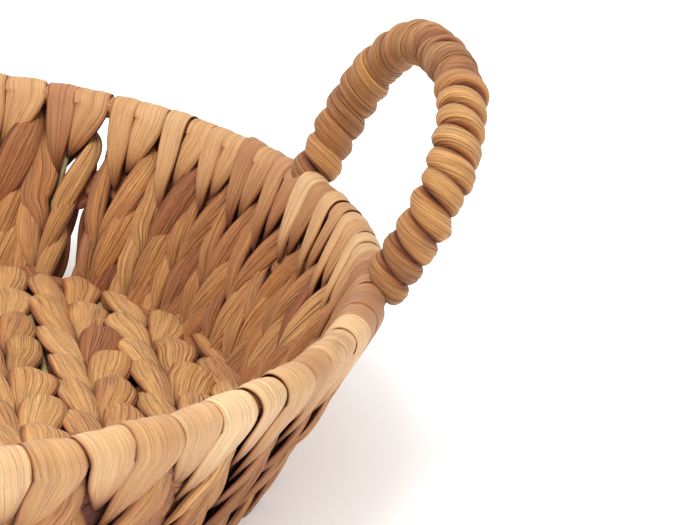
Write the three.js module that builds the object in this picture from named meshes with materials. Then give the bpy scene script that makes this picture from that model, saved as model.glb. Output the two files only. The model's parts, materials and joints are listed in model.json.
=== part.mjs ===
// A round, shallow woven basket on a wire frame, with two fixed wrapped handles.
// Millimetres, +Z up. The basket stands on z = 0, centred on the origin, with the handles at +X and -X.
import * as THREE from 'three';

// Wire frame
const RIM_R = 200;              // centreline of the rim wire
const RIM_Z = 77;
const BASE_R = 162;             // centreline of the base wire
const BASE_Z = 4.5;
const WIRE_R = 1.6;             // rim, base, ribs and stakes
const HANDLE_WIRE_R = 1.75;
const GAP = 0.35;               // clearance between touching pieces

// Floor
const FLOOR_R = 159.7;
const FLOOR_T = 9;
const ROW_PITCH = 31;
const ROW_START = -161.7;       // first edge between two rows
const RIB_HALF = WIRE_R + GAP;

// Wall: a leaning band about the line from (WALL_FOOT_R, 0) with slope WALL_SLOPE
const WALL_FOOT_R = 163.6;
const WALL_SLOPE = 0.473;       // outward run for each unit of height
const WALL_HALF = 4.95;         // half thickness, measured level
const WALL_TOP = 69.9;
const WALL_LIP = 6.6;           // height of the inner lip over the base wire
const WALL_FOOT_IN = BASE_R + WIRE_R + GAP;
const STAKE_GAP = 2 * (WIRE_R + GAP);

// Rim binding
const BIND_R = 6.5;
const BIND_BORE = WIRE_R + 0.9;

// Handles
const LEAN = THREE.MathUtils.degToRad(26.5);
const WRAP_R = 8.5;
const WRAP_BORE = HANDLE_WIRE_R + GAP;
const FOOT_OUT = 4;             // the handle wire passes this far outside the middle of the rim wire
const HANDLE_X = 194;           // where the handle's leaning plane meets the rim's level
const WRAP_START = 11.5;        // first point of the wrap, along the lean
const WRAP_STEPS = 30;
// Half of the arch in its own plane: sideways from the middle, and up along the lean
const ARCH = [[61.5, 11.5], [64, 24], [64.5, 37], [61.5, 51], [54, 63.5], [41, 73], [22, 77.8], [0, 78.5]];

const leafDark = { color: 0xa97c4e, roughness: 0.72, metalness: 0 };
const leafLight = { color: 0xc79a66, roughness: 0.66, metalness: 0 };
const wireFinish = { color: 0xb9b182, roughness: 0.45, metalness: 0.1 };

const basket = new THREE.Group();
basket.name = 'woven_basket';

function addPiece(name, geometry, finish) {
  const mesh = new THREE.Mesh(geometry, new THREE.MeshStandardMaterial(finish));
  mesh.name = name;
  basket.add(mesh);
  return mesh;
}

function number(i) {
  return String(i).padStart(2, '0');
}

// A round section with n sides, with a round bore when bore > 0
function roundSection(radius, sides, bore) {
  const shape = new THREE.Shape();
  for (let i = 0; i < sides; i += 1) {
    const a = (2 * Math.PI * i) / sides;
    if (i === 0) shape.moveTo(radius, 0);
    else shape.lineTo(radius * Math.cos(a), radius * Math.sin(a));
  }
  shape.closePath();
  if (bore > 0) {
    const hole = new THREE.Path();
    for (let i = 0; i < sides; i += 1) {
      const a = (-2 * Math.PI * i) / sides;
      if (i === 0) hole.moveTo(bore, 0);
      else hole.lineTo(bore * Math.cos(a), bore * Math.sin(a));
    }
    hole.closePath();
    shape.holes.push(hole);
  }
  return shape;
}

// A tube with flat ends along a curve
function tube(curve, steps, radius, sides, bore = 0) {
  return new THREE.ExtrudeGeometry(roundSection(radius, sides, bore), {
    steps,
    bevelEnabled: false,
    extrudePath: curve,
  });
}

// A closed wire ring about the Z axis
function ring(radius, z, wireR, segments) {
  const geometry = new THREE.TorusGeometry(radius, wireR, 6, segments);
  geometry.translate(0, 0, z);
  return geometry;
}

function polar(r, angle, z) {
  return new THREE.Vector3(r * Math.cos(angle), r * Math.sin(angle), z);
}

// An arc of a ring as a curve, from one angle to the other
class ArcPath extends THREE.Curve {
  constructor(radius, z, from, to) {
    super();
    this.radius = radius;
    this.z = z;
    this.from = from;
    this.to = to;
  }

  getPoint(t, target = new THREE.Vector3()) {
    return target.copy(polar(this.radius, this.from + (this.to - this.from) * t, this.z));
  }
}

// ---- Floor: braided rows side by side along Y, with a rib wire between each two ----
function floorRow(x0, x1) {
  const shape = new THREE.Shape();
  const steps = 10;
  const y = (x) => Math.sqrt(Math.max(FLOOR_R * FLOOR_R - x * x, 0));
  shape.moveTo(x0, -y(x0));
  for (let i = 1; i <= steps; i += 1) {
    const x = x0 + ((x1 - x0) * i) / steps;
    shape.lineTo(x, -y(x));
  }
  for (let i = steps; i >= 0; i -= 1) {
    const x = x0 + ((x1 - x0) * i) / steps;
    if (y(x) > 0.01) shape.lineTo(x, y(x));
  }
  shape.closePath();
  return new THREE.ExtrudeGeometry(shape, { depth: FLOOR_T, bevelEnabled: false });
}

const ribs = [];
for (let x = ROW_START; x < FLOOR_R; x += ROW_PITCH) {
  if (Math.abs(x) < FLOOR_R - RIB_HALF) ribs.push(x);
}
const edges = [-FLOOR_R, ...ribs, FLOOR_R];
for (let i = 0; i < edges.length - 1; i += 1) {
  const x0 = i === 0 ? edges[i] : edges[i] + RIB_HALF;
  const x1 = i === edges.length - 2 ? edges[i + 1] : edges[i + 1] - RIB_HALF;
  addPiece(`floor_braid_${number(i + 1)}`, floorRow(x0, x1), leafDark);
}
ribs.forEach((x, i) => {
  const reach = FLOOR_R - 0.3;
  const half = Math.sqrt(reach * reach - (Math.abs(x) + WIRE_R) ** 2);
  const line = new THREE.LineCurve3(new THREE.Vector3(x, -half, BASE_Z), new THREE.Vector3(x, half, BASE_Z));
  addPiece(`floor_rib_${number(i + 1)}`, tube(line, 1, WIRE_R, 10), wireFinish);
});

// ---- Rings of the frame ----
addPiece('base_wire', ring(BASE_R, BASE_Z, WIRE_R, 64), wireFinish);
addPiece('rim_wire', ring(RIM_R, RIM_Z, WIRE_R, 64), wireFinish);

// ---- Wall: leaning braided panels with a stake, or a handle wire's leg, between each two ----
const FOOT_HALF = 60;           // half the distance between a handle's two feet
const footR = RIM_R + FOOT_OUT;
const footAngle = Math.asin(FOOT_HALF / footR);
// Stakes between the two handles on one side, in degrees; the other side is the same turned half round
const STAKE_ANGLES = [55.6, 75.2, 104.8, 124.4];

const joints = [];              // angles between panels, anticlockwise from the +X handle's right leg
joints.push({ angle: -footAngle, leg: true });
for (const half of [0, Math.PI]) {
  joints.push({ angle: half + footAngle, leg: true });
  for (const degrees of STAKE_ANGLES) {
    joints.push({ angle: half + THREE.MathUtils.degToRad(degrees), leg: false });
  }
  joints.push({ angle: half + Math.PI - footAngle, leg: true });
}
joints.pop();                   // the last one is the first again

function wallProfile() {
  const mid = (z) => WALL_FOOT_R + WALL_SLOPE * z;
  return [
    [WALL_FOOT_IN, 0],
    [mid(0) + WALL_HALF, 0],
    [mid(WALL_TOP) + WALL_HALF, WALL_TOP],
    [mid(WALL_TOP) - WALL_HALF, WALL_TOP],
    [mid(WALL_LIP + 0.6) - WALL_HALF, WALL_LIP + 0.6],
    [WALL_FOOT_IN, WALL_LIP],
  ];
}

// A panel between two joints: its profile is swept round the Z axis and each end is cut parallel to its wire
function wallPanel(from, to) {
  const profile = wallProfile();
  const steps = Math.max(3, Math.round((to - from) / THREE.MathUtils.degToRad(6)));
  const n = profile.length;
  const points = [];
  for (let i = 0; i <= steps; i += 1) {
    for (const [r, z] of profile) {
      const inset = Math.asin(STAKE_GAP / 2 / r);
      const a = from + inset + (to - from - 2 * inset) * (i / steps);
      points.push(r * Math.cos(a), r * Math.sin(a), z);
    }
  }
  const faces = [];
  for (let i = 0; i < steps; i += 1) {
    for (let j = 0; j < n; j += 1) {
      const a = i * n + j;
      const b = i * n + ((j + 1) % n);
      faces.push(a, a + n, b, b, a + n, b + n);
    }
  }
  const cap = THREE.ShapeUtils.triangulateShape(profile.map(([r, z]) => new THREE.Vector2(r, z)), []);
  const last = steps * n;
  for (const [a, b, c] of cap) {
    faces.push(a, b, c);
    faces.push(last + a, last + c, last + b);
  }
  const geometry = new THREE.BufferGeometry();
  geometry.setAttribute('position', new THREE.Float32BufferAttribute(points, 3));
  geometry.setIndex(faces);
  geometry.computeVertexNormals();
  return geometry;
}

for (let i = 0; i < joints.length; i += 1) {
  const from = joints[i].angle;
  const to = i + 1 < joints.length ? joints[i + 1].angle : joints[0].angle + 2 * Math.PI;
  addPiece(`wall_braid_${number(i + 1)}`, wallPanel(from, to), leafDark);
}

const stakes = joints.filter((joint) => !joint.leg);
stakes.forEach(({ angle }, i) => {
  const low = 8.2;
  const high = RIM_Z - BIND_R - 1.2;
  const foot = polar(WALL_FOOT_R + WALL_SLOPE * low, angle, low);
  const head = polar(WALL_FOOT_R + WALL_SLOPE * high, angle, high);
  addPiece(`wall_stake_${number(i + 1)}`, tube(new THREE.LineCurve3(foot, head), 1, WIRE_R, 10), wireFinish);
});

// ---- Rim binding: a wrapped roll round the rim wire, open where the handle wires pass ----
const legs = joints.filter((joint) => joint.leg).map((joint) => joint.angle);
const cuts = [...legs, Math.PI / 2, 1.5 * Math.PI].sort((a, b) => a - b);
for (let i = 0; i < cuts.length; i += 1) {
  const from = cuts[i];
  const to = i + 1 < cuts.length ? cuts[i + 1] : cuts[0] + 2 * Math.PI;
  const legGap = 3.1 / RIM_R;
  const plainGap = 0.3 / RIM_R;
  const a = from + (legs.includes(from) ? legGap : plainGap);
  const b = to - (legs.some((leg) => Math.abs(leg - to) < 1e-6 || Math.abs(leg + 2 * Math.PI - to) < 1e-6)
    ? legGap : plainGap);
  const steps = Math.max(6, Math.round((b - a) / THREE.MathUtils.degToRad(7.5)));
  addPiece(`rim_binding_${number(i + 1)}`, tube(new ArcPath(RIM_R, RIM_Z, a, b), steps, BIND_R, 10, BIND_BORE),
    leafLight);
}

// ---- Handles: a wire arch whose legs run down into the wall, wound with leaf above the rim ----
function archPoint(side, across, up) {
  const x = HANDLE_X + up * Math.sin(LEAN);
  return new THREE.Vector3(side * x, side * across, RIM_Z + up * Math.cos(LEAN));
}

function archPoints(side) {
  const left = ARCH.map(([across, up]) => archPoint(side, across, up));
  const right = ARCH.slice(0, -1).reverse().map(([across, up]) => archPoint(side, -across, up));
  return [...left, ...right];
}

function legPoints(side, turn) {
  const angle = turn * footAngle + (side < 0 ? Math.PI : 0);
  const inside = (z) => WALL_FOOT_R + WALL_SLOPE * z;
  return [
    polar(inside(9), angle, 9),
    polar(inside(34), angle, 34),
    polar(inside(56) + 1.5, angle, 56),
    polar(footR - WALL_SLOPE * 9, angle, RIM_Z - 9),
    polar(footR, angle, RIM_Z),
  ];
}

for (const [side, label] of [[1, 'right'], [-1, 'left']]) {
  const up = legPoints(side, 1);
  const down = legPoints(side, -1).reverse();
  const wirePath = new THREE.CatmullRomCurve3([...up, ...archPoints(side), ...down], false, 'centripetal');
  addPiece(`handle_wire_${label}`, tube(wirePath, 64, HANDLE_WIRE_R, 8), wireFinish);
  // The wrap follows the same wire, from just above the rim on one side to the other
  const samples = wirePath.getSpacedPoints(400);
  const height = RIM_Z + WRAP_START * Math.cos(LEAN);
  const above = samples.filter((p) => p.z > height);
  const wrapPath = new THREE.CatmullRomCurve3(above.filter((p, i) => i % 6 === 0 || i === above.length - 1));
  addPiece(`handle_wrap_${label}`, tube(wrapPath, WRAP_STEPS, WRAP_R, 12, WRAP_BORE), leafLight);
}

export default basket;
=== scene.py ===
import json
import math

import bpy
import numpy as np
from mathutils import Matrix, Vector

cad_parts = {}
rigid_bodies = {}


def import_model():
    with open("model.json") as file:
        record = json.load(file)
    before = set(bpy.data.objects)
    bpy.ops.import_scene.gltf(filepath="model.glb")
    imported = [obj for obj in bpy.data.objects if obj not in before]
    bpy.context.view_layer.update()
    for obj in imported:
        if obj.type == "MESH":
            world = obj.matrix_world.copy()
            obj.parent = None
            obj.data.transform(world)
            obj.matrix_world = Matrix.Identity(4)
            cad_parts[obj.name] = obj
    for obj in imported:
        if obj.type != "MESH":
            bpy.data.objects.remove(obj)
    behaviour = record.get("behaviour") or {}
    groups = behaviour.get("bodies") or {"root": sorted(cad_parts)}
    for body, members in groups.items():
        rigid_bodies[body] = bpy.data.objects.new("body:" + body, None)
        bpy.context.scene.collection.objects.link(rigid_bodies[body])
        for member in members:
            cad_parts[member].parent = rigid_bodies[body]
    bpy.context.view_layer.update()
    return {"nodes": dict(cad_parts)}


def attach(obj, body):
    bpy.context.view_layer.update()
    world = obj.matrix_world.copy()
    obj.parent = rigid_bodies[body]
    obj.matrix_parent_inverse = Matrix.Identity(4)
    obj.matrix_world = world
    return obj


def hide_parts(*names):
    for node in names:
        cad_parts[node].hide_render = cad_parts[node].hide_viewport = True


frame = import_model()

# Sizes in millimetres, close to the CAD model's; the paddings are the radii of the leaf rolls round the wires
RIM_R, RIM_Z, RIM_PADDING = 200.0, 77.0, 4.9
BASE_R, BASE_Z, BASE_PADDING = 162.3, 4.6, 4.2
WALL_SLOPE = 0.473
WALL_LEAN = math.atan(WALL_SLOPE)
FLOOR_R, FLOOR_REACH, FLOOR_MID = 160.0, 164.0, 4.5
ROWS, ROW_PITCH, ROW_START = 11, 31.0, -161.7
STITCH = 27.0
TABLE_GAP = 0.4

# The handle's arch, as distances across from its middle and up along its lean, for its far and near half
HANDLE_LEAN = math.radians(26.5)
HANDLE_FOOT_X = 194.0
FAR_ARCH = [(61, 3), (61.5, 11.5), (64, 24), (64.5, 37), (61.5, 51), (54, 63.5), (41, 73), (22, 77.8),
            (0, 78.5)]
NEAR_ARCH = [(61, 3), (62, 11.5), (64, 24), (63.5, 37), (59.5, 50), (50.5, 61.5), (37, 71.5), (19, 77.2)]

# Angles round the rim, in degrees from +X. The braided columns are one quarter's, closer together beside the
# handles, and the stakes are one half's. A handle's feet are 60 from its middle and 204 from the basket's.
# Beside the near foot the wraps are thicker and browner, and one wrap at the near edge is much browner
COLUMNS = [6.35, 12.7, 19.0, 25.5, 31.8, 38.4, 46.4, 55.6, 65.3, 75.2, 85.05]
SLIT_COLUMNS = (46.4, 55.6)
STAKES = [55.6, 75.2, 104.8, 124.4]
HANDLE_FOOT = math.degrees(math.asin(60 / 204))
NEAR_FOOT = -18.0
BROWN_WRAP = 284.8

# Each kind of strand comes in this many shapes
VARIANTS = 7

# Windings of a handle from its far foot to its near one: strand, where it ends as a share of the wire's
# length, extra size, tint, step along the wire and how unevenly the turns lie
WINDINGS = [("flat_coil", 0.36, 0.0, 0.36, 10.2, 0.06), ("creased_coil", 0.6, 0.0, 0.34, 6.2, 0.08),
            ("fat_coil", 1.0, 0.04, 0.62, 9.1, 0.08)]


# ---------------------------------------------------------------- strands
def smooth(rows, count):
    """Rows of numbers resampled along a smooth curve through them."""
    p = np.asarray(rows, float)
    ends = np.vstack([2 * p[0] - p[1], p, 2 * p[-1] - p[-2]])
    t = np.linspace(0, len(p) - 1, count)
    i = np.minimum(t.astype(int), len(p) - 2)
    f = (t - i)[:, None]
    a, b, c, d = ends[i], ends[i + 1], ends[i + 2], ends[i + 3]
    curve = (2 * a - 5 * b + 4 * c - d) * f**2 + (3 * b - a - 3 * c + d) * f**3
    return 0.5 * (2 * b + (c - a) * f + curve)


def unit(v):
    """Vectors brought to length one."""
    return v / np.maximum(np.linalg.norm(v, axis=-1, keepdims=True), 1e-9)


def crown_line(rng, s, v, half, crown, swell, facet, folds, depth, wave, lip):
    """Height of a strand's upper face: a round or ridged crown, long creases, waves and a raised edge."""
    body = np.clip(1 - np.abs(s) ** swell[0], 0, 1) ** swell[1]
    ridge = rng.uniform(-0.5, 0.5) + rng.uniform(-0.2, 0.2) * (v[:, None] - 0.5)
    tent = 1 - np.abs(s[None] - ridge) / (1 + np.sign(s[None] - ridge) * -ridge)
    top = crown[:, None] * ((1 - facet) * body[None] + facet * 1.12 * np.minimum(tent * 1.5, body[None]))
    fade = np.clip(half / half.max(), 0.15, 1)[:, None]
    for _ in range(folds):
        centre = rng.uniform(-0.82, 0.82) + rng.uniform(-0.25, 0.25) * (v - 0.5)
        centre = centre + 0.05 * np.sin(rng.uniform(6, 14) * v)
        width = rng.uniform(0.06, 0.15)
        strength = depth * rng.uniform(0.35, 1.0)
        strength = strength * (0.6 + 0.4 * np.sin(rng.uniform(2, 7) * v + rng.uniform(0, 6)))
        valley = np.exp(-np.abs(s[None] - centre[:, None]) / width)
        top -= strength[:, None] * fade * valley * body[None] ** 0.5
    for _ in range(2):
        a, b, c = rng.uniform(1.5, 5), rng.uniform(4, 16), rng.uniform(0, 6.3)
        top += wave * 0.5 * fade * body[None] * np.sin(a * s[None] + b * v[:, None] + c)
    return top + lip * fade * np.clip(s[None] * np.sign(rng.uniform(-1, 1)) - 0.55, 0, 1) * 2


class Strands:
    """Collects closed leaf strands and turns them into one mesh."""

    THICK = 0.7

    def __init__(self):
        self.points, self.faces, self.uv, self.shade = [], [], [], []
        self.count = 0

    def leaf(self, rng, rows, steps=24, across=17, folds=5, depth=0.7, wave=0.3, roll=0.0, lip=0.0,
             swell=(2.6, 0.62), facet=0.5, dark_ends=0.6, slew=0.1, twist=0.0, edge_shade_sharpness=9):
        """One flattened strand. Each row is x, y, z, the face's normal (3), half width and crown height."""
        r = smooth(rows, steps)
        line, up = r[:, :3], r[:, 3:6]
        half, crown = np.maximum(r[:, 6], 0.12), np.maximum(r[:, 7], 0.05)
        v = np.linspace(0, 1, steps)
        s = np.sin(np.linspace(-np.pi / 2, np.pi / 2, across))

        # the strand's own axes, rolled a little about its length
        along = unit(np.gradient(line, axis=0))
        side = unit(np.cross(along, up))
        up = np.cross(side, along)
        turn = (roll * np.sin(np.pi * v + rng.uniform(0, 1)) + rng.normal(0, 0.03))[:, None]
        side, up = side * np.cos(turn) + up * np.sin(turn), up * np.cos(turn) - side * np.sin(turn)

        # closed rings of points: the creased upper face, then the shallow under face
        top = crown_line(rng, s, v, half, crown, swell, facet, folds, depth, wave, lip)
        top = np.maximum(top, -self.THICK * 0.5 * (1 - s[None] ** 2))
        edge = 1 + 0.05 * np.sin(rng.uniform(5, 14) * v + rng.uniform(0, 6)) * np.clip(crown, 0, 1)
        reach = (half * edge)[:, None]
        under_s = np.array([0.72, 0.25, -0.25, -0.72])
        under = -self.THICK * (1 - under_s**2)[None] * np.clip(half / half.max(), 0.15, 1)[:, None]
        ring_s = np.concatenate([s, under_s])
        height = np.hstack([top, under])[..., None]
        ring = line[:, None] + side[:, None] * (ring_s[None] * reach)[..., None] + up[:, None] * height

        # fibre coordinates that slew or twist round the strand, and painted shade: darker at the ends, where
        # strands tuck under others, along the edges where they meet, and on the under face
        length = np.concatenate([[0], np.cumsum(np.linalg.norm(np.diff(line, axis=0), axis=1))])[:, None]
        drift = (twist + rng.uniform(-slew, slew)) * length
        uv = np.stack(np.broadcast_arrays(ring_s[None] * half.max() + drift, length), -1)
        ends = 1 - dark_ends * np.exp(-v / 0.07) - dark_ends * np.exp(-(1 - v) / 0.07)
        shade = ends[:, None] * (1 - 0.7 * np.abs(ring_s[None]) ** edge_shade_sharpness)
        shade[:, across:] *= 0.6
        self.add_tube(ring, uv, np.clip(shade, 0, 1))

    def add_tube(self, ring, uv, shade):
        """Rings of points, joined up and capped at both ends."""
        steps, around = ring.shape[:2]
        base = self.count + np.arange(steps)[:, None] * around + np.arange(around)[None]
        nxt = np.roll(base, -1, axis=1)
        self.faces += np.stack([base[:-1], nxt[:-1], nxt[1:], base[1:]], -1).reshape(-1, 4).tolist()
        self.faces.append(base[0][::-1].tolist())
        self.faces.append(base[-1].tolist())
        self.points.append(ring.reshape(-1, 3))
        self.uv.append(uv.reshape(-1, 2))
        self.shade.append(shade.ravel())
        self.count += steps * around

    def mesh(self, name, tint=None):
        """The strands as a mesh with fibre direction, painted shade and, unless their places give it, one
        tint.
        """
        mesh = bpy.data.meshes.new(name)
        mesh.from_pydata((np.vstack(self.points) * 0.001).tolist(), [], self.faces)
        corner = np.empty(len(mesh.loops), np.int32)
        mesh.loops.foreach_get("vertex_index", corner)
        layer = mesh.uv_layers.new(name="UVMap")
        layer.data.foreach_set("uv", (np.vstack(self.uv)[corner] * 0.001).astype(np.float32).ravel())
        values = {"shade": np.concatenate(self.shade)}
        if tint is not None:
            values["tint"] = np.full(self.count, tint)
        for label, value in values.items():
            made = mesh.attributes.new(label, "FLOAT", "POINT")
            made.data.foreach_set("value", value.astype(np.float32))
        mesh.polygons.foreach_set("use_smooth", np.ones(len(mesh.polygons), bool))
        mesh.update()
        return mesh


def loosen(rng, rows, shift=0.7, width=0.09, height=0.4):
    """The same strand laid by hand: each row moved a little."""
    r = np.array(rows, float)
    r[:, 0] += rng.normal(0, shift, len(r)) + rng.normal(0, shift)
    r[:, 1] += rng.normal(0, shift, len(r))
    r[:, 2] += rng.normal(0, height, len(r)) * np.minimum(r[:, 6] / 7, 1)
    r[:, 6] *= 1 + rng.normal(0, width)
    r[:, 7] *= 1 + rng.normal(0, 0.15)
    return r


# ---------------------------------------------------------------- shapes of the strands
# Rows as Strands.leaf takes them, from the bend down to the pointed tip near the origin
WALL_LEFT = [(-10.5, 52, -.6, -.1, .25, 1, 2.2, .5), (-12.6, 43, .2, -.2, .15, 1, 5.6, 1.8),
             (-12, 31, 2.2, -.15, .05, 1, 7.8, 2.6), (-8.4, 18, 3.1, -.1, -.05, 1, 7.6, 2.6),
             (-4.3, 8, 2.6, 0, -.1, 1, 4.7, 1.9), (-1.2, -1, 1.2, 0, -.2, 1, .9, .5)]
WALL_RIGHT = [(12, 54, -.2, .1, .25, 1, 2.2, .5), (15, 46, .6, .2, .15, 1, 5.2, 1.9),
              (12.6, 32, 3.7, .12, .05, 1, 7.2, 2.8), (8.2, 18, 4.5, .05, -.05, 1, 7, 2.8),
              (4, 7, 3.8, 0, -.1, 1, 4.5, 2.0), (1.2, -4, 2, 0, -.2, 1, .8, .5)]
FLOOR_LEFT = [(-9.8, 50, .2, -.1, .4, 1, 2.2, .5), (-9.4, 45, 1.9, -.1, .3, 1, 5.8, 1.8),
              (-8.3, 34, 3.2, -.08, .1, 1, 7.7, 2.7), (-6, 20, 2.9, -.04, -.1, 1, 7.2, 2.6),
              (-3.2, 9, 1.8, 0, -.15, 1, 4.8, 1.9), (-1, -1, .2, 0, -.2, 1, 1.2, .5)]
FLOOR_RIGHT = [(9.6, 45, -.9, .1, .9, 1, 1, .4), (9.8, 44.2, .2, .1, .8, 1, 3.6, 1.1),
               (10, 42, 1.6, .1, .7, 1, 5.7, 1.9), (10, 38.5, 2.8, .1, .5, 1, 7.5, 2.7),
               (9.8, 33, 3.6, .08, .2, 1, 9, 3.3), (8.6, 25, 3.4, .06, 0, 1, 9, 3.4),
               (6.6, 16.5, 2.3, .04, -.1, 1, 7.2, 2.8), (4, 8, 1, 0, -.15, 1, 4.4, 1.7),
               (1.4, -1, -.4, 0, -.2, 1, 1.3, .5)]
# A plain strand that crosses behind the braid, from end to end
FILLER = [(-21, 0, -1, 0, .1, 1, 1, .4), (-14, .5, .2, 0, .1, 1, 6.2, .9), (-5, .6, .4, 0, 0, 1, 7.6, 1.3),
          (6, -.6, -.4, 0, 0, 1, 7.6, 1.3), (14, -.5, -.2, 0, 0, 1, 6.2, 1), (21, 0, -1, 0, .1, 1, 1, .4)]


def over_rim(x_in, x_out, tip_in, tip_out, reach, half, radius, sink):
    """A strand folded over the rim wire, its two tips on the inner and the outer face."""
    rows = [(tip_in, -reach, 2.4 - sink, 0, -.15, 1, 1.0, .5),
            (tip_in * .62 + x_in * .38, -reach * .72, 4.2 - sink, 0, 0, 1, half * .56, 1.8),
            (tip_in * .3 + x_in * .7, -reach * .4, 5.0 - sink * .6, 0, .05, 1, half * .9, 1.8),
            (x_in, -3.2, radius, 0, .1, 1, half, 1.3)]
    for k in range(5):
        a = math.radians(20 + 35 * k)
        f = (k + 1) / 6
        rows.append((x_in * (1 - f) + x_out * f, radius * math.sin(a), radius * math.cos(a),
                     0, math.sin(a), math.cos(a), half, 1.0))
    rows += [(x_out, -3.2, -radius, 0, .1, -1, half, 1.3),
             (tip_out * .3 + x_out * .7, -reach * .4, -5.0 + sink * .6, 0, .05, -1, half * .88, 1.8),
             (tip_out * .62 + x_out * .38, -reach * .75, -4.0 + sink, 0, 0, -1, half * .55, 1.8),
             (tip_out * 1.1, -reach * 1.15, -2.2 + sink, 0, -.15, -1, 1.0, .5)]
    return rows


def coil(radius, half, crown, pitch):
    """One turn of a strand wound round the handle wire, with the handle along Z and its ends tucked in."""
    rows, count = [], 24
    for k in range(count + 1):
        f = k / count
        a = 2 * math.pi * (f * 1.08 - 0.04)
        c, s = math.cos(a), math.sin(a)
        tuck = abs(2 * f - 1) ** 12
        r = radius - 2.4 * tuck
        rows.append((r * c, r * s, pitch * (0.5 - f), c, s, 0.0,
                     half * (1 - 0.5 * tuck), crown * (1 - 0.6 * tuck)))
    return rows


def library(name, seed, make):
    """A collection of variants of one strand, kept out of the scene."""
    store = bpy.data.collections.new(name)
    rng = np.random.default_rng(seed)
    for k in range(VARIANTS):
        strands = Strands()
        make(strands, rng, k)
        label = f"{name}_{k:02d}"
        store.objects.link(bpy.data.objects.new(label, strands.mesh(label)))
    return store


def wall_left_strand(strands, rng, k):
    strands.leaf(rng, loosen(rng, WALL_LEFT), roll=0.16, folds=6, depth=0.95, lip=0.8 if k % 3 == 0 else 0)


def wall_right_strand(strands, rng, k):
    strands.leaf(rng, loosen(rng, WALL_RIGHT), roll=0.16, folds=6, depth=0.95, lip=0.8 if k % 3 == 1 else 0)


def floor_left_strand(strands, rng, k):
    strands.leaf(rng, loosen(rng, FLOOR_LEFT, 0.5), roll=0.1, folds=6, depth=0.85)


def floor_right_strand(strands, rng, k):
    strands.leaf(rng, loosen(rng, FLOOR_RIGHT, 0.5), roll=0.08, folds=6, depth=0.7, swell=(1.9, 0.62),
                 facet=0.3)


def filler_strand(strands, rng, k):
    strands.leaf(rng, loosen(rng, FILLER, 1.2), steps=14, across=13)


def rim_wide_strand(strands, rng, k):
    rows = over_rim(-7.5 + rng.normal(0, .5), -11 + rng.normal(0, .7), -1, -2, 34 + rng.normal(0, 1.5),
                    8.5 + rng.normal(0, .35), 5.6 + rng.normal(0, .15), 0)
    strands.leaf(rng, rows, steps=52, folds=6, depth=0.4, wave=0.25, lip=0.7 if k % 2 else 0, facet=0.2,
                 edge_shade_sharpness=16)


def rim_tucked_strand(strands, rng, k):
    rows = over_rim(9 + rng.normal(0, .6), 5.5 + rng.normal(0, .6), 1.5, .5, 27 + rng.normal(0, 1.5),
                    9.2 + rng.normal(0, .5), 5.25 + rng.normal(0, .15), 1.2)
    strands.leaf(rng, rows, steps=52, folds=6, depth=0.4, wave=0.25, facet=0.2, edge_shade_sharpness=16)


def flat_coil(strands, rng, k):
    rows = coil(5.4 + rng.normal(0, .25), 5.8 + rng.normal(0, .25), 3.9, 16)
    strands.leaf(rng, rows, steps=46, across=15, folds=6, depth=0.45, wave=0.25, swell=(2.5, 0.55),
                 facet=0.1, dark_ends=0.2, slew=0.05, edge_shade_sharpness=5)


def creased_coil(strands, rng, k):
    rows = coil(6.5 + rng.normal(0, .25), 4.5 + rng.normal(0, .5), 2.3, 15)
    strands.leaf(rng, rows, steps=46, across=19, folds=10, depth=0.95, wave=0.5, facet=0.4,
                 dark_ends=0.2, slew=0.2, twist=0.2, edge_shade_sharpness=5)


def fat_coil(strands, rng, k):
    rows = coil(4.8 + rng.normal(0, .15), 5.2 + rng.normal(0, .2), 4.7, 15)
    strands.leaf(rng, rows, steps=46, folds=6, depth=0.5, wave=0.35, swell=(2.0, 0.5), facet=0,
                 dark_ends=0.2, twist=0.22, edge_shade_sharpness=4)


# ---------------------------------------------------------------- finishes
# Leaf colours of a dark, a middling and a pale strand; then roughness, and how strong the fibres (with the
# painted shade in their creases), the brown blotches and the relief are
LEAF = {
    "wall": dict(low=(0.3, 0.1, 0.036), mid=(0.475, 0.226, 0.073), high=(0.64, 0.38, 0.155),
                 rough=0.58, streak_and_crease_shade=0.9, blotch=0.55, deep=1.0),
    "floor": dict(low=(0.36, 0.145, 0.058), mid=(0.54, 0.29, 0.108), high=(0.69, 0.44, 0.2),
                  rough=0.6, streak_and_crease_shade=0.72, blotch=0.55, deep=1.0),
    "rim": dict(low=(0.32, 0.125, 0.05), mid=(0.53, 0.305, 0.135), high=(0.74, 0.53, 0.31),
                rough=0.46, streak_and_crease_shade=0.42, blotch=0.35, deep=0.45),
    "handle": dict(low=(0.28, 0.105, 0.042), mid=(0.48, 0.25, 0.085), high=(0.66, 0.41, 0.17),
                   rough=0.5, streak_and_crease_shade=0.9, blotch=0.45, deep=1.2),
}
WHITE = (1, 1, 1, 1)


def grey(x):
    return x, x, x, 1


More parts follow.
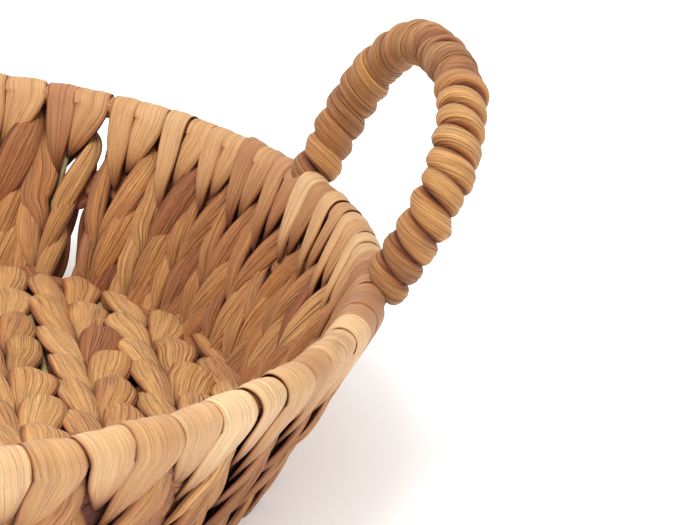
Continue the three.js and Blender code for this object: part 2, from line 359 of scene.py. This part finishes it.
class Finish:
    """A material under construction, with short ways to add and join its nodes."""

    def __init__(self, name):
        self.material = bpy.data.materials.new(name)
        self.material.use_nodes = True
        self.tree = self.material.node_tree
        self.shader = self.tree.nodes["Principled BSDF"]

    def set(self, **values):
        """Constants on the shader's own sockets."""
        for key, value in values.items():
            self.shader.inputs[key.replace("_", " ")].default_value = value

    def join(self, source, socket):
        self.tree.links.new(source, socket)

    def node(self, kind, **values):
        """A node, with each value set on its property or on the input of that name."""
        made = self.tree.nodes.new(kind)
        for key, value in values.items():
            if hasattr(made, key):
                setattr(made, key, value)
            else:
                made.inputs[key.replace("_", " ")].default_value = value
        return made

    def calculate(self, operation, *values, kind="ShaderNodeMath"):
        """A math node, each of whose values is a number, a vector or another node's output."""
        made = self.node(kind, operation=operation)
        for value, socket in zip(values, made.inputs):
            self.feed(value, socket)
        return made.outputs[0]

    def feed(self, value, socket):
        if isinstance(value, bpy.types.NodeSocket):
            self.join(value, socket)
        else:
            socket.default_value = value

    def noise(self, place, scale, detail, roughness):
        made = self.node("ShaderNodeTexNoise", Scale=scale, Detail=detail, Roughness=roughness)
        self.join(place, made.inputs["Vector"])
        return made.outputs["Fac"]

    def ramp(self, source, *stops):
        made = self.node("ShaderNodeValToRGB")
        marks = made.color_ramp.elements
        while len(marks) < len(stops):
            marks.new(0.5)
        for mark, (at, colour) in zip(marks, stops):
            mark.position = at
            mark.color = colour
        self.join(source, made.inputs[0])
        return made.outputs[0]

    def mix(self, kind, a, b, factor):
        made = self.node("ShaderNodeMix", data_type="RGBA", blend_type=kind)
        for value, socket in ((factor, made.inputs[0]), (a, made.inputs[6]), (b, made.inputs[7])):
            self.feed(value, socket)
        return made.outputs[2]

    def groove(self, source):
        """Zero along the line where a noise crosses its middle, rising to each side."""
        return self.calculate("ABSOLUTE", self.calculate("SUBTRACT", source, 0.5))

    def bump(self, height, strength, distance):
        made = self.node("ShaderNodeBump", Strength=strength, Distance=distance)
        self.join(height, made.inputs["Height"])
        self.join(made.outputs[0], self.shader.inputs["Normal"])


def leaf_finish(name, low, mid, high, rough, streak_and_crease_shade, blotch, deep):
    """Dried leaf: a ramp of strand colours, fibres along the strand, blotches, painted shade in the creases
    and at strand ends and edges, and fine grooves in relief.
    """
    f = Finish(name)
    uv = f.node("ShaderNodeUVMap", uv_map="UVMap").outputs[0]
    tint = f.node("ShaderNodeAttribute", attribute_name="tint").outputs["Fac"]
    shade = f.node("ShaderNodeAttribute", attribute_name="shade").outputs["Fac"]
    place = f.node("ShaderNodeTexCoord").outputs["Object"]

    # each strand reads its own layer of the noises, by its tint
    layer = f.node("ShaderNodeCombineXYZ")
    f.join(f.calculate("MULTIPLY", tint, 53.0), layer.inputs["Z"])

    def stretched(across, along, detail, roughness):
        """A noise drawn out along the fibres."""
        scaled = f.calculate("MULTIPLY", uv, (across, along, 1.0), kind="ShaderNodeVectorMath")
        moved = f.calculate("ADD", scaled, layer.outputs[0], kind="ShaderNodeVectorMath")
        return f.noise(moved, 1.0, detail, roughness)

    fibres = stretched(1500, 30, 3.0, 0.65)
    bands = stretched(400, 11, 2.0, 0.5)
    wide = stretched(90, 22, 2.0, 0.5)
    crease = f.groove(stretched(220, 8, 2.5, 0.55))
    hair = f.groove(fibres)
    spots = f.noise(place, 46.0, 3.0, 0.6)

    colour = f.ramp(tint, (0.0, low + (1,)), (0.45, mid + (1,)), (1.0, high + (1,)))
    fibre_colour = f.ramp(fibres, (0.32, (0.62, 0.5, 0.4, 1)), (0.5, WHITE), (0.66, grey(1.14)))
    colour = f.mix("MULTIPLY", colour, fibre_colour, streak_and_crease_shade)
    band_colour = f.ramp(bands, (0.32, (0.88, 0.82, 0.76, 1)), (0.5, WHITE), (0.7, (1.08, 1.06, 1.02, 1)))
    colour = f.mix("MULTIPLY", colour, band_colour, streak_and_crease_shade)
    # painted shade: the crease valleys are darkened in patches, as cavity shadow would darken them
    crease_shade_colour = f.ramp(crease, (0.0, (0.34, 0.17, 0.08, 1)), (0.013, WHITE))
    crease_shade_patches = f.ramp(stretched(150, 45, 2.0, 0.5), (0.42, grey(0.05 * streak_and_crease_shade)), (0.66, grey(streak_and_crease_shade)))
    colour = f.mix("MULTIPLY", colour, crease_shade_colour, crease_shade_patches)
    hair_colour = f.ramp(hair, (0.0, (0.6, 0.44, 0.33, 1)), (0.028, WHITE))
    colour = f.mix("MULTIPLY", colour, hair_colour, streak_and_crease_shade)
    blotches = f.ramp(wide, (0.5, grey(0)), (0.72, grey(blotch)))
    colour = f.mix("MIX", colour, (0.34, 0.135, 0.065, 1), blotches)
    specks = f.ramp(spots, (0.66, grey(0)), (0.8, grey(0.5)))
    colour = f.mix("MIX", colour, (0.2, 0.075, 0.035, 1), specks)
    # painted shade: the strands' shade values darken their ends, edges and under faces to a deep red-brown,
    # as if shadowed where they tuck under one another
    painted_shade_colour = f.ramp(shade, (0.2, (0.16, 0.045, 0.012, 1)), (0.6, (0.48, 0.28, 0.15, 1)),
                    (0.85, (0.86, 0.76, 0.67, 1)), (0.97, WHITE))
    colour = f.mix("MULTIPLY", colour, painted_shade_colour, 1.0)
    f.join(colour, f.shader.inputs["Base Color"])

    valley = f.node("ShaderNodeMapRange", interpolation_type="SMOOTHSTEP", From_Max=0.035)
    f.join(crease, valley.inputs["Value"])
    f.bump(f.calculate("MULTIPLY_ADD", valley.outputs[0], 0.55, fibres), 1.0, 0.001 * deep)
    gloss = f.node("ShaderNodeMapRange", To_Min=rough + 0.1, To_Max=rough - 0.1)
    f.join(bands, gloss.inputs["Value"])
    f.join(gloss.outputs[0], f.shader.inputs["Roughness"])
    f.set(Specular_IOR_Level=0.42, Sheen_Weight=0.08, Sheen_Roughness=0.5)
    return f.material


def painted_wire():
    """Pale olive paint with slight wear."""
    f = Finish("painted_wire")
    wear = f.noise(f.node("ShaderNodeTexCoord").outputs["Object"], 160, 4, 0.5)
    f.join(f.ramp(wear, (0.3, (0.22, 0.15, 0.06, 1)), (0.62, (0.47, 0.36, 0.17, 1))),
           f.shader.inputs["Base Color"])
    f.bump(wear, 0.3, 0.0003)
    f.set(Roughness=0.38)
    return f.material


# ---------------------------------------------------------------- repeating strands with Geometry Nodes
def repeat_tree():
    """Puts a variant of a strand at each point, turned, stretched and slightly jittered, as one real mesh."""
    tree = bpy.data.node_groups.new("repeat_strands", "GeometryNodeTree")
    for name, kind in (("Points", "NodeSocketGeometry"), ("Strands", "NodeSocketCollection"),
                       ("Finish", "NodeSocketMaterial"), ("Jitter", "NodeSocketFloat"),
                       ("Seed", "NodeSocketInt")):
        tree.interface.new_socket(name, in_out="INPUT", socket_type=kind)
    tree.interface.new_socket("Geometry", in_out="OUTPUT", socket_type="NodeSocketGeometry")
    nodes, link = tree.nodes, tree.links.new
    given, out = nodes.new("NodeGroupInput"), nodes.new("NodeGroupOutput")
    info = nodes.new("GeometryNodeCollectionInfo")
    info.inputs["Separate Children"].default_value = True
    link(given.outputs["Strands"], info.inputs["Collection"])
    read = {}
    for name, kind in (("kind", "INT"), ("turn", "FLOAT_VECTOR"), ("stretch", "FLOAT_VECTOR")):
        read[name] = nodes.new("GeometryNodeInputNamedAttribute")
        read[name].data_type = kind
        read[name].inputs["Name"].default_value = name
    euler = nodes.new("FunctionNodeEulerToRotation")
    link(read["turn"].outputs["Attribute"], euler.inputs[0])
    place = nodes.new("GeometryNodeInstanceOnPoints")
    place.inputs["Pick Instance"].default_value = True
    link(given.outputs["Points"], place.inputs["Points"])
    link(info.outputs[0], place.inputs["Instance"])
    link(read["kind"].outputs["Attribute"], place.inputs["Instance Index"])
    link(euler.outputs[0], place.inputs["Rotation"])
    link(read["stretch"].outputs["Attribute"], place.inputs["Scale"])
    chance = nodes.new("FunctionNodeRandomValue")
    chance.data_type = "FLOAT_VECTOR"
    chance.inputs["Min"].default_value = (-1, -1, -1)
    chance.inputs["Max"].default_value = (1, 1, 1)
    link(given.outputs["Seed"], chance.inputs["Seed"])
    amount = nodes.new("ShaderNodeVectorMath")
    amount.operation = "SCALE"
    link(chance.outputs[0], amount.inputs[0])
    link(given.outputs["Jitter"], amount.inputs["Scale"])
    lean = nodes.new("FunctionNodeEulerToRotation")
    link(amount.outputs[0], lean.inputs[0])
    rotate = nodes.new("GeometryNodeRotateInstances")
    link(place.outputs[0], rotate.inputs["Instances"])
    link(lean.outputs[0], rotate.inputs["Rotation"])
    real = nodes.new("GeometryNodeRealizeInstances")
    link(rotate.outputs[0], real.inputs[0])
    finish = nodes.new("GeometryNodeSetMaterial")
    link(real.outputs[0], finish.inputs["Geometry"])
    link(given.outputs["Finish"], finish.inputs["Material"])
    link(finish.outputs[0], out.inputs[0])
    return tree


class Layout:
    """Where the strands of one kind go: a matrix, a stretch, a tint and a variant for each."""

    def __init__(self, rng):
        self.rng, self.rows = rng, []

    def add(self, matrix, stretch, tint):
        kind = int(self.rng.integers(VARIANTS))
        self.rows.append((matrix, stretch, float(np.clip(tint, 0.02, 0.98)), kind))

    def bake(self, store, finish, tree, jitter, seed):
        """The strands as one plain mesh, with the tree's modifier gone."""
        mesh = bpy.data.meshes.new(store.name)
        mesh.from_pydata([tuple(m.translation * 0.001) for m, *_ in self.rows], [], [])
        columns = (("turn", "FLOAT_VECTOR", "vector", [tuple(m.to_euler("XYZ")) for m, *_ in self.rows]),
                   ("stretch", "FLOAT_VECTOR", "vector", [r[1] for r in self.rows]),
                   ("tint", "FLOAT", "value", [r[2] for r in self.rows]),
                   ("kind", "INT", "value", [r[3] for r in self.rows]))
        for label, kind, field, values in columns:
            made = mesh.attributes.new(label, kind, "POINT")
            exact = np.asarray(values, np.int32 if kind == "INT" else np.float32)
            made.data.foreach_set(field, exact.ravel())
        source = bpy.data.objects.new(store.name + "_points", mesh)
        bpy.context.scene.collection.objects.link(source)
        modifier = source.modifiers.new("repeat", "NODES")
        modifier.node_group = tree
        ids = {s.name: s.identifier for s in tree.interface.items_tree if s.in_out == "INPUT"}
        for label, value in (("Strands", store), ("Finish", finish), ("Jitter", jitter), ("Seed", seed)):
            modifier[ids[label]] = value
        graph = bpy.context.evaluated_depsgraph_get()
        result = bpy.data.meshes.new_from_object(source.evaluated_get(graph), depsgraph=graph)
        bpy.data.objects.remove(source)
        for label in ("turn", "stretch", "kind"):
            if label in result.attributes:
                result.attributes.remove(result.attributes[label])
        result.polygons.foreach_set("use_smooth", np.ones(len(result.polygons), bool))
        return result


def settle(mesh, reach_limit=None):
    """Nothing goes below the table, and where a limit is given, low strands end inside the wall's foot."""
    at = np.empty(len(mesh.vertices) * 3, np.float32)
    mesh.vertices.foreach_get("co", at)
    at = at.reshape(-1, 3)
    at[:, 2] = np.maximum(at[:, 2], TABLE_GAP * 0.001 + 0.02 * np.clip(at[:, 2], -0.02, 0))
    if reach_limit:
        reach = np.hypot(at[:, 0], at[:, 1])
        low = (at[:, 2] < 0.018) & (reach > reach_limit)
        kept = reach_limit + 0.1 * np.clip(reach[low] - reach_limit, 0, 0.02)
        at[low, :2] *= kept[:, None] / reach[low, None]
    mesh.vertices.foreach_set("co", at.ravel())
    mesh.update()


def joined(name, meshes, *, finish, nodes, reach_limit=None):
    """One piece from several meshes, which stands for the given CAD nodes."""
    parts = []
    for mesh in meshes:
        mesh.materials.clear()
        mesh.materials.append(finish)
        parts.append(bpy.data.objects.new(name, mesh))
        bpy.context.scene.collection.objects.link(parts[-1])
    piece = parts[0]
    if len(parts) > 1:
        with bpy.context.temp_override(active_object=piece, object=piece, selected_objects=parts,
                                       selected_editable_objects=parts):
            bpy.ops.object.join()
    piece.name = name
    piece.data.name = name
    settle(piece.data, reach_limit)
    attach(piece, "root")
    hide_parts(*nodes)
    return piece


# ---------------------------------------------------------------- where things are
def columns_between(low, high):
    """The braided columns from one angle to another, each with its own width in degrees."""
    quarter = np.array(COLUMNS)
    angles = np.sort(np.concatenate([[0, 180], quarter, 180 - quarter, 180 + quarter, 360 - quarter]))
    for i, angle in enumerate(angles):
        if (angle - low) % 360 < (high - low) % 360:
            yield angle, ((angles[(i + 1) % len(angles)] - angles[i - 1]) % 360) / 2


def wall_frame(angle, down, outside=False, inward=0.0):
    """The wall's axes at an angle and some way down from the rim: x sideways, y up it, z off its face."""
    a = math.radians(angle)
    x = Vector((math.sin(a), -math.cos(a), 0))
    y = Vector((math.sin(WALL_LEAN) * math.cos(a), math.sin(WALL_LEAN) * math.sin(a), math.cos(WALL_LEAN)))
    z = x.cross(y)
    centre = Vector((RIM_R * math.cos(a), RIM_R * math.sin(a), RIM_Z)) - y * down + z * inward
    if outside:
        x, z = -x, -z
    m = Matrix((x, y, z)).transposed().to_4x4()
    m.translation = centre
    return m


def strand_tint(rng, mean, spread, dark=0.12):
    """A strand's own tint; a share of the strands is much darker."""
    return mean - 0.32 * (rng.random() < dark) + rng.normal(0, spread)


def leaf_roll(low, high, ring_r, height, radius):
    """The leaf padding under the strands: a closed roll along a ring of the frame."""
    steps, around = max(8, int(((high - low) % 360) / 3)), 14
    a = np.radians(np.linspace(low + 0.4, low + (high - low) % 360 - 0.4, steps))[:, None]
    b = np.linspace(0, -2 * np.pi, around, endpoint=False)[None]
    r = ring_r + radius * np.cos(b)
    ring = np.stack([r * np.cos(a), r * np.sin(a), height + radius * np.sin(b) + 0 * a], -1)
    uv = np.stack([np.mod(b, 2 * np.pi) * radius + 0 * a, a * ring_r + 0 * b], -1)
    roll = Strands()
    # painted shade: the whole roll is darkened evenly, since it shows only in the shadowed gaps under the
    # strands
    roll.add_tube(ring, uv, np.full((steps, around), 0.8))
    return roll.mesh("roll", tint=0.4)


# ---------------------------------------------------------------- wall
def wall_joints():
    """The CAD wall's panel edges, in the order of its nodes."""
    joints = [-HANDLE_FOOT]
    for half in (0, 180):
        joints += [half + edge for edge in (HANDLE_FOOT, *STAKES, 180 - HANDLE_FOOT)]
    return joints[:-1]


def braid_column(rng, angle, spacing, lefts, rights):
    """Three tiers of left and right strands on the inner face, then on the outer one."""
    facing = rights if angle == SLIT_COLUMNS[1] else lefts
    for outside in (False, True):
        tips = ((54, 51), (74, 71), (95, 92)) if outside else ((62, 59), (82, 79), (99, 96))
        lengths = (0.8, 0.95, 0.9) if outside else (0.92, 1, 0.92)
        for tier, pair in enumerate(tips):
            for layout, tip in zip((lefts, rights), pair):
                tip = tip + rng.normal(0, 1.5)
                pitch = math.radians(spacing) * (RIM_R - (tip - 20) * math.sin(WALL_LEAN))
                wide = max(pitch / 30, 0.74) * (1 + rng.normal(0, 0.05)) * (1.12 if outside else 1)
                if angle in SLIT_COLUMNS:
                    narrow = 0.63 if outside or tier else 0.7
                    wide *= narrow if (layout is facing) != outside else 0.92
                long = lengths[tier] + rng.normal(0, 0.03)
                inward = 0.6 * tier if outside else -0.6 * tier
                layout.add(wall_frame(angle, tip, outside, inward), (wide, long, 0.85 if outside else 1.0),
                           strand_tint(rng, 0.5, 0.19))


def fill_behind(rng, angle, spacing, fills):
    """Strands that cross behind the braid: one at a slit, and some outside too where they hide a stake."""
    at_slit = angle in SLIT_COLUMNS
    over_stake = round(angle % 180, 1) in STAKES and not at_slit
    arc = math.radians(spacing) * 185
    for down in (39,) if at_slit else (18, 31, 44, 57, 70):
        turn = rng.normal(0, 0.2) + (math.pi if rng.random() < 0.5 else 0)
        place = wall_frame(angle, down + rng.normal(0, 2), False, rng.normal(0, 0.5))
        fills.add(place @ Matrix.Rotation(turn, 4, "Z"), (max(arc / 33, 0.6), 1, 1),
                  strand_tint(rng, 0.22, 0.12))
        if over_stake:
            fills.add(wall_frame(angle, down - 3, True, -1.3), (max(arc / 38, 0.5), 1.1, 0.9),
                      strand_tint(rng, 0.35, 0.1))


def make_wall(stores, leaf, tree):
    joints = wall_joints()
    for n in range(len(joints)):
        low, high = joints[n], joints[(n + 1) % len(joints)]
        rng = np.random.default_rng(100 + n)
        lefts, rights, fills = Layout(rng), Layout(rng), Layout(rng)
        for angle, spacing in columns_between(low, high):
            braid_column(rng, angle, spacing, lefts, rights)
            fill_behind(rng, angle, spacing, fills)
        meshes = [leaf_roll(low, high, BASE_R, BASE_Z, BASE_PADDING),
                  lefts.bake(stores["wall_left"], leaf, tree, 0.035, n),
                  rights.bake(stores["wall_right"], leaf, tree, 0.035, n + 40),
                  fills.bake(stores["filler"], leaf, tree, 0.05, n + 80)]
        joined(f"wall_strands_{n + 1:02d}", meshes, finish=leaf,
               nodes=[f"wall_braid_{n + 1:02d}"])


# ---------------------------------------------------------------- rim
def make_rim(stores, leaf, tree):
    cuts = [-HANDLE_FOOT, HANDLE_FOOT, 90, 180 - HANDLE_FOOT, 180 + HANDLE_FOOT, 270]
    for n in range(len(cuts)):
        low, high = cuts[n], cuts[(n + 1) % len(cuts)]
        rng = np.random.default_rng(300 + n)
        wide, tucked = Layout(rng), Layout(rng)
        for angle, spacing in columns_between(low, high):
            stretch = max(math.radians(spacing) * RIM_R / 33.5, 0.62) * (0.9 if angle in SLIT_COLUMNS else 1)
            thick = 1 + rng.normal(0, 0.02)
            mean = 0.56 - 0.17 * math.sin(math.radians(angle))
            if abs((angle - NEAR_FOOT + 180) % 360 - 180) < 8:
                thick *= 1.1
                mean = 0.25
            browned = 0.42 if abs(angle - BROWN_WRAP) < 2 else 0.0
            place, size = wall_frame(angle, 0), (stretch, thick, thick)
            wide.add(place, size, strand_tint(rng, mean + 0.03 - browned, 0.12, 0.15))
            tucked.add(place, size, strand_tint(rng, mean - 0.05, 0.14, 0.2))
        meshes = [leaf_roll(low, high, RIM_R, RIM_Z, RIM_PADDING),
                  wide.bake(stores["rim_wide"], leaf, tree, 0.0, n),
                  tucked.bake(stores["rim_tucked"], leaf, tree, 0.0, n)]
        joined(f"rim_strands_{n + 1:02d}", meshes, finish=leaf,
               nodes=[f"rim_binding_{n + 1:02d}"])


# ---------------------------------------------------------------- floor
def make_floor(stores, leaf, tree):
    """Braided rows along Y, each with its upper strands and a flatter layer turned over beneath them."""
    for n in range(ROWS):
        rng = np.random.default_rng(500 + n)
        lefts, rights = Layout(rng), Layout(rng)
        middle = ROW_START + ROW_PITCH * (n + 0.5)
        for under in (False, True):
            turn = Matrix.Rotation(math.pi, 4, "Y") if under else Matrix.Identity(4)
            level, thick = (FLOOR_MID - 0.4, 0.52) if under else (FLOOR_MID + 0.4, 1.0)
            for y in np.arange(-207 + rng.uniform(0, STITCH), 160, STITCH):
                for layout, side in ((lefts, -1), (rights, 1)):
                    if math.hypot(middle + side * 8, y + 24) > FLOOR_R + 9:
                        continue
                    at = Vector((middle, y + rng.normal(0, 0.8), level))
                    size = (1 + rng.normal(0, 0.04), 1 + rng.normal(0, 0.04), thick)
                    layout.add(Matrix.Translation(at) @ turn, size, strand_tint(rng, 0.56, 0.2, 0.22))
        meshes = [layout.bake(stores[key], leaf, tree, 0.03, n)
                  for layout, key in ((lefts, "floor_left"), (rights, "floor_right")) if layout.rows]
        joined(f"floor_strands_{n + 1:02d}", meshes, finish=leaf,
               nodes=[f"floor_braid_{n + 1:02d}"], reach_limit=FLOOR_REACH * 0.001)


# ---------------------------------------------------------------- handles
def handle_line(side):
    """The handle wire's centre line above the rim, from far foot to near one, and the way gone along it."""
    rows = FAR_ARCH + [(-across, up) for across, up in NEAR_ARCH[::-1]]
    line = smooth([(HANDLE_FOOT_X + up * math.sin(HANDLE_LEAN), across, RIM_Z + up * math.cos(HANDLE_LEAN))
                   for across, up in rows], 400)
    line[:, :2] *= side
    gone = np.concatenate([[0], np.cumsum(np.linalg.norm(np.diff(line, axis=0), axis=1))])
    return line, gone


def make_handles(stores, leaf, tree):
    for side, label in ((1, "right"), (-1, "left")):
        rng = np.random.default_rng(700 + side)
        line, gone = handle_line(side)
        along, total = unit(np.gradient(line, axis=0)), gone[-1]
        level = Vector((side * math.cos(HANDLE_LEAN), 0, -math.sin(HANDLE_LEAN)))
        layouts = {kind: Layout(rng) for kind, *_ in WINDINGS}
        at = 0.5
        while at < total - 1:
            kind, end, swollen, mean, step, _ = next(row for row in WINDINGS if at / total <= row[1])
            i = int(np.searchsorted(gone, at))
            z = Vector(along[i])
            x = (level - z * level.dot(z)).normalized()
            m = Matrix((x, z.cross(x), z)).transposed().to_4x4()
            m.translation = Vector(line[i])
            size = 1 + rng.normal(0, 0.025) + swollen
            near_end = at > total - 22
            layouts[kind].add(m, (size, size, 1 + rng.normal(0, 0.04)),
                              strand_tint(rng, 0.2 if near_end else mean, 0.08, 0.1))
            last_of_kind = end < 1 and (at + step) / total > end
            at += (5.0 if last_of_kind else step) + rng.normal(0, 0.3)
        meshes = [layouts[kind].bake(stores[kind], leaf, tree, jitter, 3 + k)
                  for k, (kind, *_, jitter) in enumerate(WINDINGS)]
        joined(f"handle_winding_{label}", meshes, finish=leaf,
               nodes=[f"handle_wrap_{label}"])


# ---------------------------------------------------------------- studio
def make_camera():
    """The viewing place: distance, direction and roll about a point on the basket's floor level."""
    heading, below, roll = math.radians(14.7), math.radians(20.9), math.radians(5.2)
    distance = 1.1212
    target = Vector((0.2359, 0.1431, 0.009))
    level = math.cos(below)
    ahead = Vector((math.sin(heading) * level, math.cos(heading) * level, -math.sin(below)))
    right = Vector((math.cos(heading), -math.sin(heading), 0))
    up = right.cross(ahead)
    right, up = right * math.cos(roll) + up * math.sin(roll), up * math.cos(roll) - right * math.sin(roll)
    data = bpy.data.cameras.new("camera")
    data.lens, data.sensor_width = 127.58, 36.0
    data.clip_end = 20
    camera = bpy.data.objects.new("camera", data)
    m = Matrix((right, up, -ahead)).transposed().to_4x4()
    m.translation = target - ahead * distance
    camera.matrix_world = m
    bpy.context.scene.collection.objects.link(camera)
    bpy.context.scene.camera = camera


def area_light(name, place, aim, size, power, colour=(1, 1, 1)):
    data = bpy.data.lights.new(name, "AREA")
    data.shape, data.size, data.energy, data.color = "DISK", size, power, colour
    lamp = bpy.data.objects.new(name, data)
    lamp.location = place
    lamp.rotation_euler = (Vector(aim) - Vector(place)).to_track_quat("-Z", "Y").to_euler()
    bpy.context.scene.collection.objects.link(lamp)


def make_studio():
    """Even white surroundings, a soft key from the left and a weak fill from the front."""
    scene = bpy.context.scene
    scene.world = bpy.data.worlds.new("studio")
    scene.world.use_nodes = True
    background = scene.world.node_tree.nodes["Background"]
    background.inputs[0].default_value = WHITE
    background.inputs[1].default_value = 0.95
    scene.view_settings.view_transform = "Standard"
    scene.view_settings.exposure = 0.12
    scene.view_settings.gamma = 0.9
    area_light("key", (-0.85, -0.45, 1.7), (0.05, 0.05, 0.03), 1.5, 31, (1, 0.985, 0.96))
    area_light("fill", (0.8, -1.3, 1.0), (0.05, 0, 0.05), 1.4, 5)


def make_studio_floor():
    """A pale floor that glows very slightly, so that shadows stay light."""
    mesh = bpy.data.meshes.new("studio_floor")
    mesh.from_pydata([(-6, -6, 0), (6, -6, 0), (6, 6, 0), (-6, 6, 0)], [], [(0, 1, 2, 3)])
    pale = Finish("pale_floor")
    pale.set(Base_Color=(0.93, 0.93, 0.93, 1), Roughness=0.9, Emission_Color=WHITE, Emission_Strength=0.13)
    mesh.materials.append(pale.material)
    floor = bpy.data.objects.new("studio_floor", mesh)
    bpy.context.scene.collection.objects.link(floor)


def paint_wires():
    """The wires keep their CAD shape and get paint."""
    paint = painted_wire()
    for node in frame["nodes"].values():
        if not node.hide_render:
            for k in range(len(node.data.materials)):
                node.data.materials[k] = paint


def main():
    make_camera()
    make_studio()
    make_studio_floor()
    tree = repeat_tree()
    makers = {"wall_left": wall_left_strand, "wall_right": wall_right_strand, "floor_left": floor_left_strand,
              "floor_right": floor_right_strand, "filler": filler_strand, "rim_wide": rim_wide_strand,
              "rim_tucked": rim_tucked_strand, "flat_coil": flat_coil, "fat_coil": fat_coil,
              "creased_coil": creased_coil}
    stores = {name: library(name, 11 + k, maker) for k, (name, maker) in enumerate(makers.items())}
    leaf = {name: leaf_finish(f"{name}_leaf", **values) for name, values in LEAF.items()}
    make_wall(stores, leaf["wall"], tree)
    make_rim(stores, leaf["rim"], tree)
    make_floor(stores, leaf["floor"], tree)
    make_handles(stores, leaf["handle"], tree)
    paint_wires()
    for store in stores.values():
        for obj in list(store.objects):
            bpy.data.objects.remove(obj)
        bpy.data.collections.remove(store)


main()
